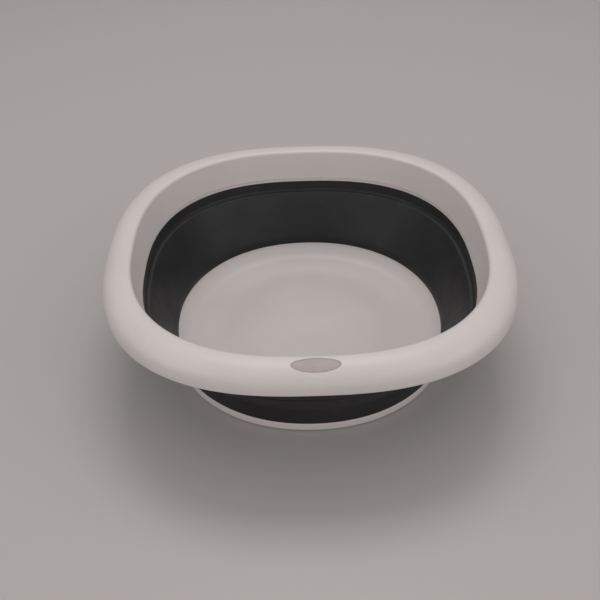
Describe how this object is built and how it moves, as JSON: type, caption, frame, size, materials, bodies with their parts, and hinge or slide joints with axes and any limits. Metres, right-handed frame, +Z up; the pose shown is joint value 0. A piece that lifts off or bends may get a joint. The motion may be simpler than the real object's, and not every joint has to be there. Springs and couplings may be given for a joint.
{
  "type": "collapsible wash basin",
  "caption": "Collapsible wash basin with a rigid white rim and base joined by a folding charcoal rubber wall that lets the rim drop flat around the base.",
  "frame": {"origin": "on the table, under the middle of the base, with the basin opened to its full height", "axes": "+Z up out of the basin, -Y towards the badge at the front, +X to the right seen from the front"},
  "size_m": [0.36, 0.36, 0.113],
  "materials": {
    "white_plastic": "satin moulded polypropylene",
    "grey_plastic": "satin",
    "charcoal_rubber": "matt thermoplastic rubber"
  },
  "bodies": {
    "base_body": {"base": "white_plastic", "wall_lower": "charcoal_rubber", "wall_fold_panel": "charcoal_rubber"},
    "rim_body": {"rim": "white_plastic", "rim_badge": "grey_plastic", "wall_upper_band": "charcoal_rubber"}
  },
  "joints": [
    {"name": "collapse", "type": "slide", "parent": "base_body", "child": "rim_body", "axis": [0, 0, -1], "range_m": [0, 0.06], "deforming": ["wall_fold_panel"]}
  ]
}
